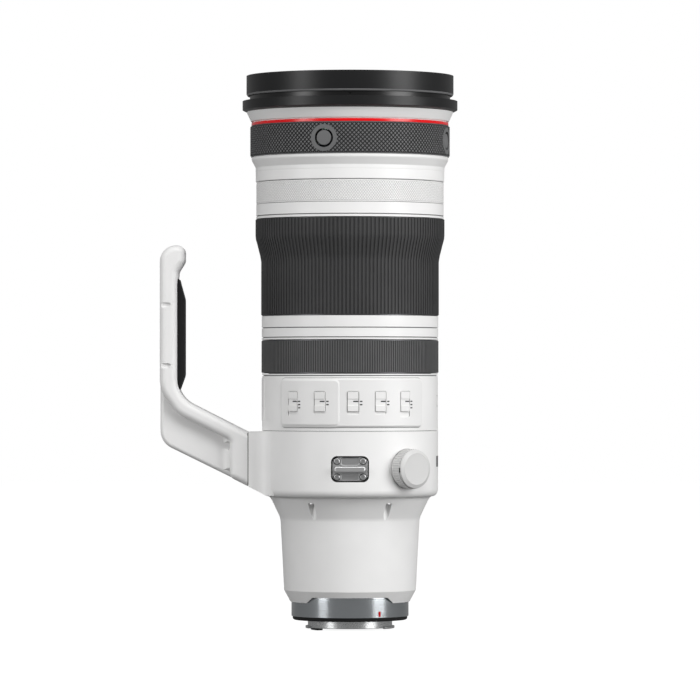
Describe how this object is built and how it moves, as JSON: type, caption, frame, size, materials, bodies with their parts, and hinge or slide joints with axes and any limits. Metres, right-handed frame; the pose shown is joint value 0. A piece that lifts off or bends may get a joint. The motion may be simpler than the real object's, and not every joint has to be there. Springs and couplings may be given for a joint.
{
  "type": "super telephoto zoom lens",
  "caption": "Large white telephoto zoom lens with ribbed zoom and focus rings, switch panel, rotating tripod collar and handle foot.",
  "frame": {"origin": "centre of the bayonet flange face, on the optical axis", "axes": "+Z along the optical axis towards the front of the lens, -X towards the tripod foot at rest, -Y towards the switch panel"},
  "size_m": [0.1777, 0.128, 0.3306],
  "materials": {
    "white_paint": "off-white baked enamel with a fine grain",
    "panel_paint": "off-white baked enamel, slightly smoother",
    "black_paint": "satin black enamel",
    "band_paint": "satin dark grey enamel over a diamond knurl",
    "red_enamel": "gloss red enamel",
    "zoom_rubber": "matte ribbed rubber",
    "focus_rubber": "matte finely ribbed rubber",
    "black_rubber": "matte rubber",
    "mount_steel": "satin turned steel",
    "bayonet_steel": "bright turned steel",
    "screw_steel": "bright steel",
    "lug_steel": "satin steel",
    "black_plastic": "matte moulded plastic",
    "white_plastic": "off-white moulded plastic",
    "button_plastic": "soft matte plastic",
    "inner_metal": "dark anodised aluminium",
    "cell_metal": "black anodised aluminium",
    "front_glass": "coated optical glass",
    "inner_glass": "coated optical glass",
    "board": "green circuit board"
  },
  "bodies": {
    "lens_body": {"mount_ring": "mount_steel", "bayonet": "bayonet_steel", "bayonet_screws": "screw_steel", "mount_seal": "black_rubber", "contact_block": "black_plastic", "rear_baffle": "black_plastic", "rear_barrel": "white_paint", "bearing_tube": "inner_metal", "barrel_screws": "screw_steel", "switch_barrel": "white_paint", "switch_panel": "panel_paint", "mid_sleeve": "white_paint", "front_sleeve": "white_paint", "front_cone": "white_paint", "button_band": "band_paint", "red_ring": "red_enamel", "front_barrel": "white_paint", "front_ring": "black_paint", "front_cell": "black_paint", "front_glass": "front_glass", "main_tube": "inner_metal", "guide_rods": "screw_steel", "focus_motors": "inner_metal", "stabilizer_base": "inner_metal", "iris_base": "inner_metal", "iris_blades": "cell_metal", "rear_cell": "cell_metal", "rear_glass": "inner_glass", "circuit_board": "board"},
    "zoom_ring": {"zoom_core": "inner_metal", "zoom_grip": "zoom_rubber", "cam_tube": "inner_metal"},
    "focus_ring": {"focus_core": "inner_metal", "focus_grip": "focus_rubber"},
    "function_ring": {"control_ring": "white_paint"},
    "variator": {"variator_cell": "cell_metal", "variator_glass": "inner_glass"},
    "compensator": {"compensator_cell": "cell_metal", "compensator_glass": "inner_glass"},
    "focus_unit": {"focus_cell": "cell_metal", "focus_glass": "inner_glass"},
    "steady_frame": {"stabilizer_frame": "inner_metal"},
    "steady_unit": {"stabilizer_cell": "cell_metal", "stabilizer_glass": "inner_glass"},
    "tripod_collar": {"collar_ring": "white_paint", "tripod_foot": "white_paint", "foot_pad": "black_rubber", "foot_screws": "screw_steel", "strap_lugs": "lug_steel", "lug_screws": "screw_steel"},
    "collar_lock": {"lock_knob": "white_paint"},
    "slider_1": {"switch_1": "white_plastic"},
    "slider_2": {"switch_2": "white_plastic"},
    "slider_3": {"switch_3": "white_plastic"},
    "slider_4": {"switch_4": "white_plastic"},
    "slider_5": {"switch_5": "white_plastic"},
    "function_button_1": {"button_1": "button_plastic"},
    "function_button_2": {"button_2": "button_plastic"},
    "function_button_3": {"button_3": "button_plastic"},
    "function_button_4": {"button_4": "button_plastic"}
  },
  "joints": [
    {"name": "zoom_turn", "type": "hinge", "parent": "lens_body", "child": "zoom_ring", "pos_m": [0, 0, 0.2], "axis": [0, 0, 1], "range_deg": [0, 70]},
    {"name": "variator_slide", "type": "slide", "parent": "lens_body", "child": "variator", "axis": [0, 0, 1], "range_m": [-0.02401, 0]},
    {"name": "compensator_slide", "type": "slide", "parent": "lens_body", "child": "compensator", "axis": [0, 0, 1], "range_m": [0, 0.01201]},
    {"name": "focus_turn", "type": "hinge", "parent": "lens_body", "child": "focus_ring", "pos_m": [0, 0, 0.155], "axis": [0, 0, 1], "continuous": true},
    {"name": "control_turn", "type": "hinge", "parent": "lens_body", "child": "function_ring", "pos_m": [0, 0, 0.253], "axis": [0, 0, 1], "continuous": true},
    {"name": "focus_slide", "type": "slide", "parent": "lens_body", "child": "focus_unit", "axis": [0, 0, 1], "range_m": [-0.02, 0]},
    {"name": "steady_across", "type": "slide", "parent": "lens_body", "child": "steady_frame", "axis": [1, 0, 0], "range_m": [-0.0015, 0.0015]},
    {"name": "steady_up", "type": "slide", "parent": "steady_frame", "child": "steady_unit", "axis": [0, 1, 0], "range_m": [-0.0015, 0.0015]},
    {"name": "collar_turn", "type": "hinge", "parent": "lens_body", "child": "tripod_collar", "pos_m": [0, 0, 0.09], "axis": [0, 0, 1], "continuous": true},
    {"name": "lock_turn", "type": "hinge", "parent": "tripod_collar", "child": "collar_lock", "pos_m": [0.03323, -0.0396, 0.0895], "axis": [0.6428, -0.766, 0], "range_deg": [0, 180]},
    {"name": "switch_1_slide", "type": "slide", "parent": "lens_body", "child": "slider_1", "axis": [0, 0, -1], "range_m": [0, 0.0031]},
    {"name": "switch_2_slide", "type": "slide", "parent": "lens_body", "child": "slider_2", "axis": [0, 0, -1], "range_m": [0, 0.0016]},
    {"name": "switch_3_slide", "type": "slide", "parent": "lens_body", "child": "slider_3", "axis": [0, 0, -1], "range_m": [0, 0.0016]},
    {"name": "switch_4_slide", "type": "slide", "parent": "lens_body", "child": "slider_4", "axis": [0, 0, -1], "range_m": [0, 0.0016]},
    {"name": "switch_5_slide", "type": "slide", "parent": "lens_body", "child": "slider_5", "axis": [0, 0, -1], "range_m": [0, 0.0031]},
    {"name": "button_1_press", "type": "slide", "parent": "lens_body", "child": "function_button_1", "axis": [0.2588, 0.9659, 0], "range_m": [0, 0.0008], "stiffness_N_per_m": 400},
    {"name": "button_2_press", "type": "slide", "parent": "lens_body", "child": "function_button_2", "axis": [-0.9659, 0.2588, 0], "range_m": [0, 0.0008], "stiffness_N_per_m": 400},
    {"name": "button_3_press", "type": "slide", "parent": "lens_body", "child": "function_button_3", "axis": [-0.2588, -0.9659, 0], "range_m": [0, 0.0008], "stiffness_N_per_m": 400},
    {"name": "button_4_press", "type": "slide", "parent": "lens_body", "child": "function_button_4", "axis": [0.9659, -0.2588, 0], "range_m": [0, 0.0008], "stiffness_N_per_m": 400}
  ],
  "couplings": [
    {"joint": "variator_slide", "follows": "zoom_turn", "m_per_rad": -0.019644},
    {"joint": "compensator_slide", "follows": "zoom_turn", "m_per_rad": 0.0098221}
  ]
}
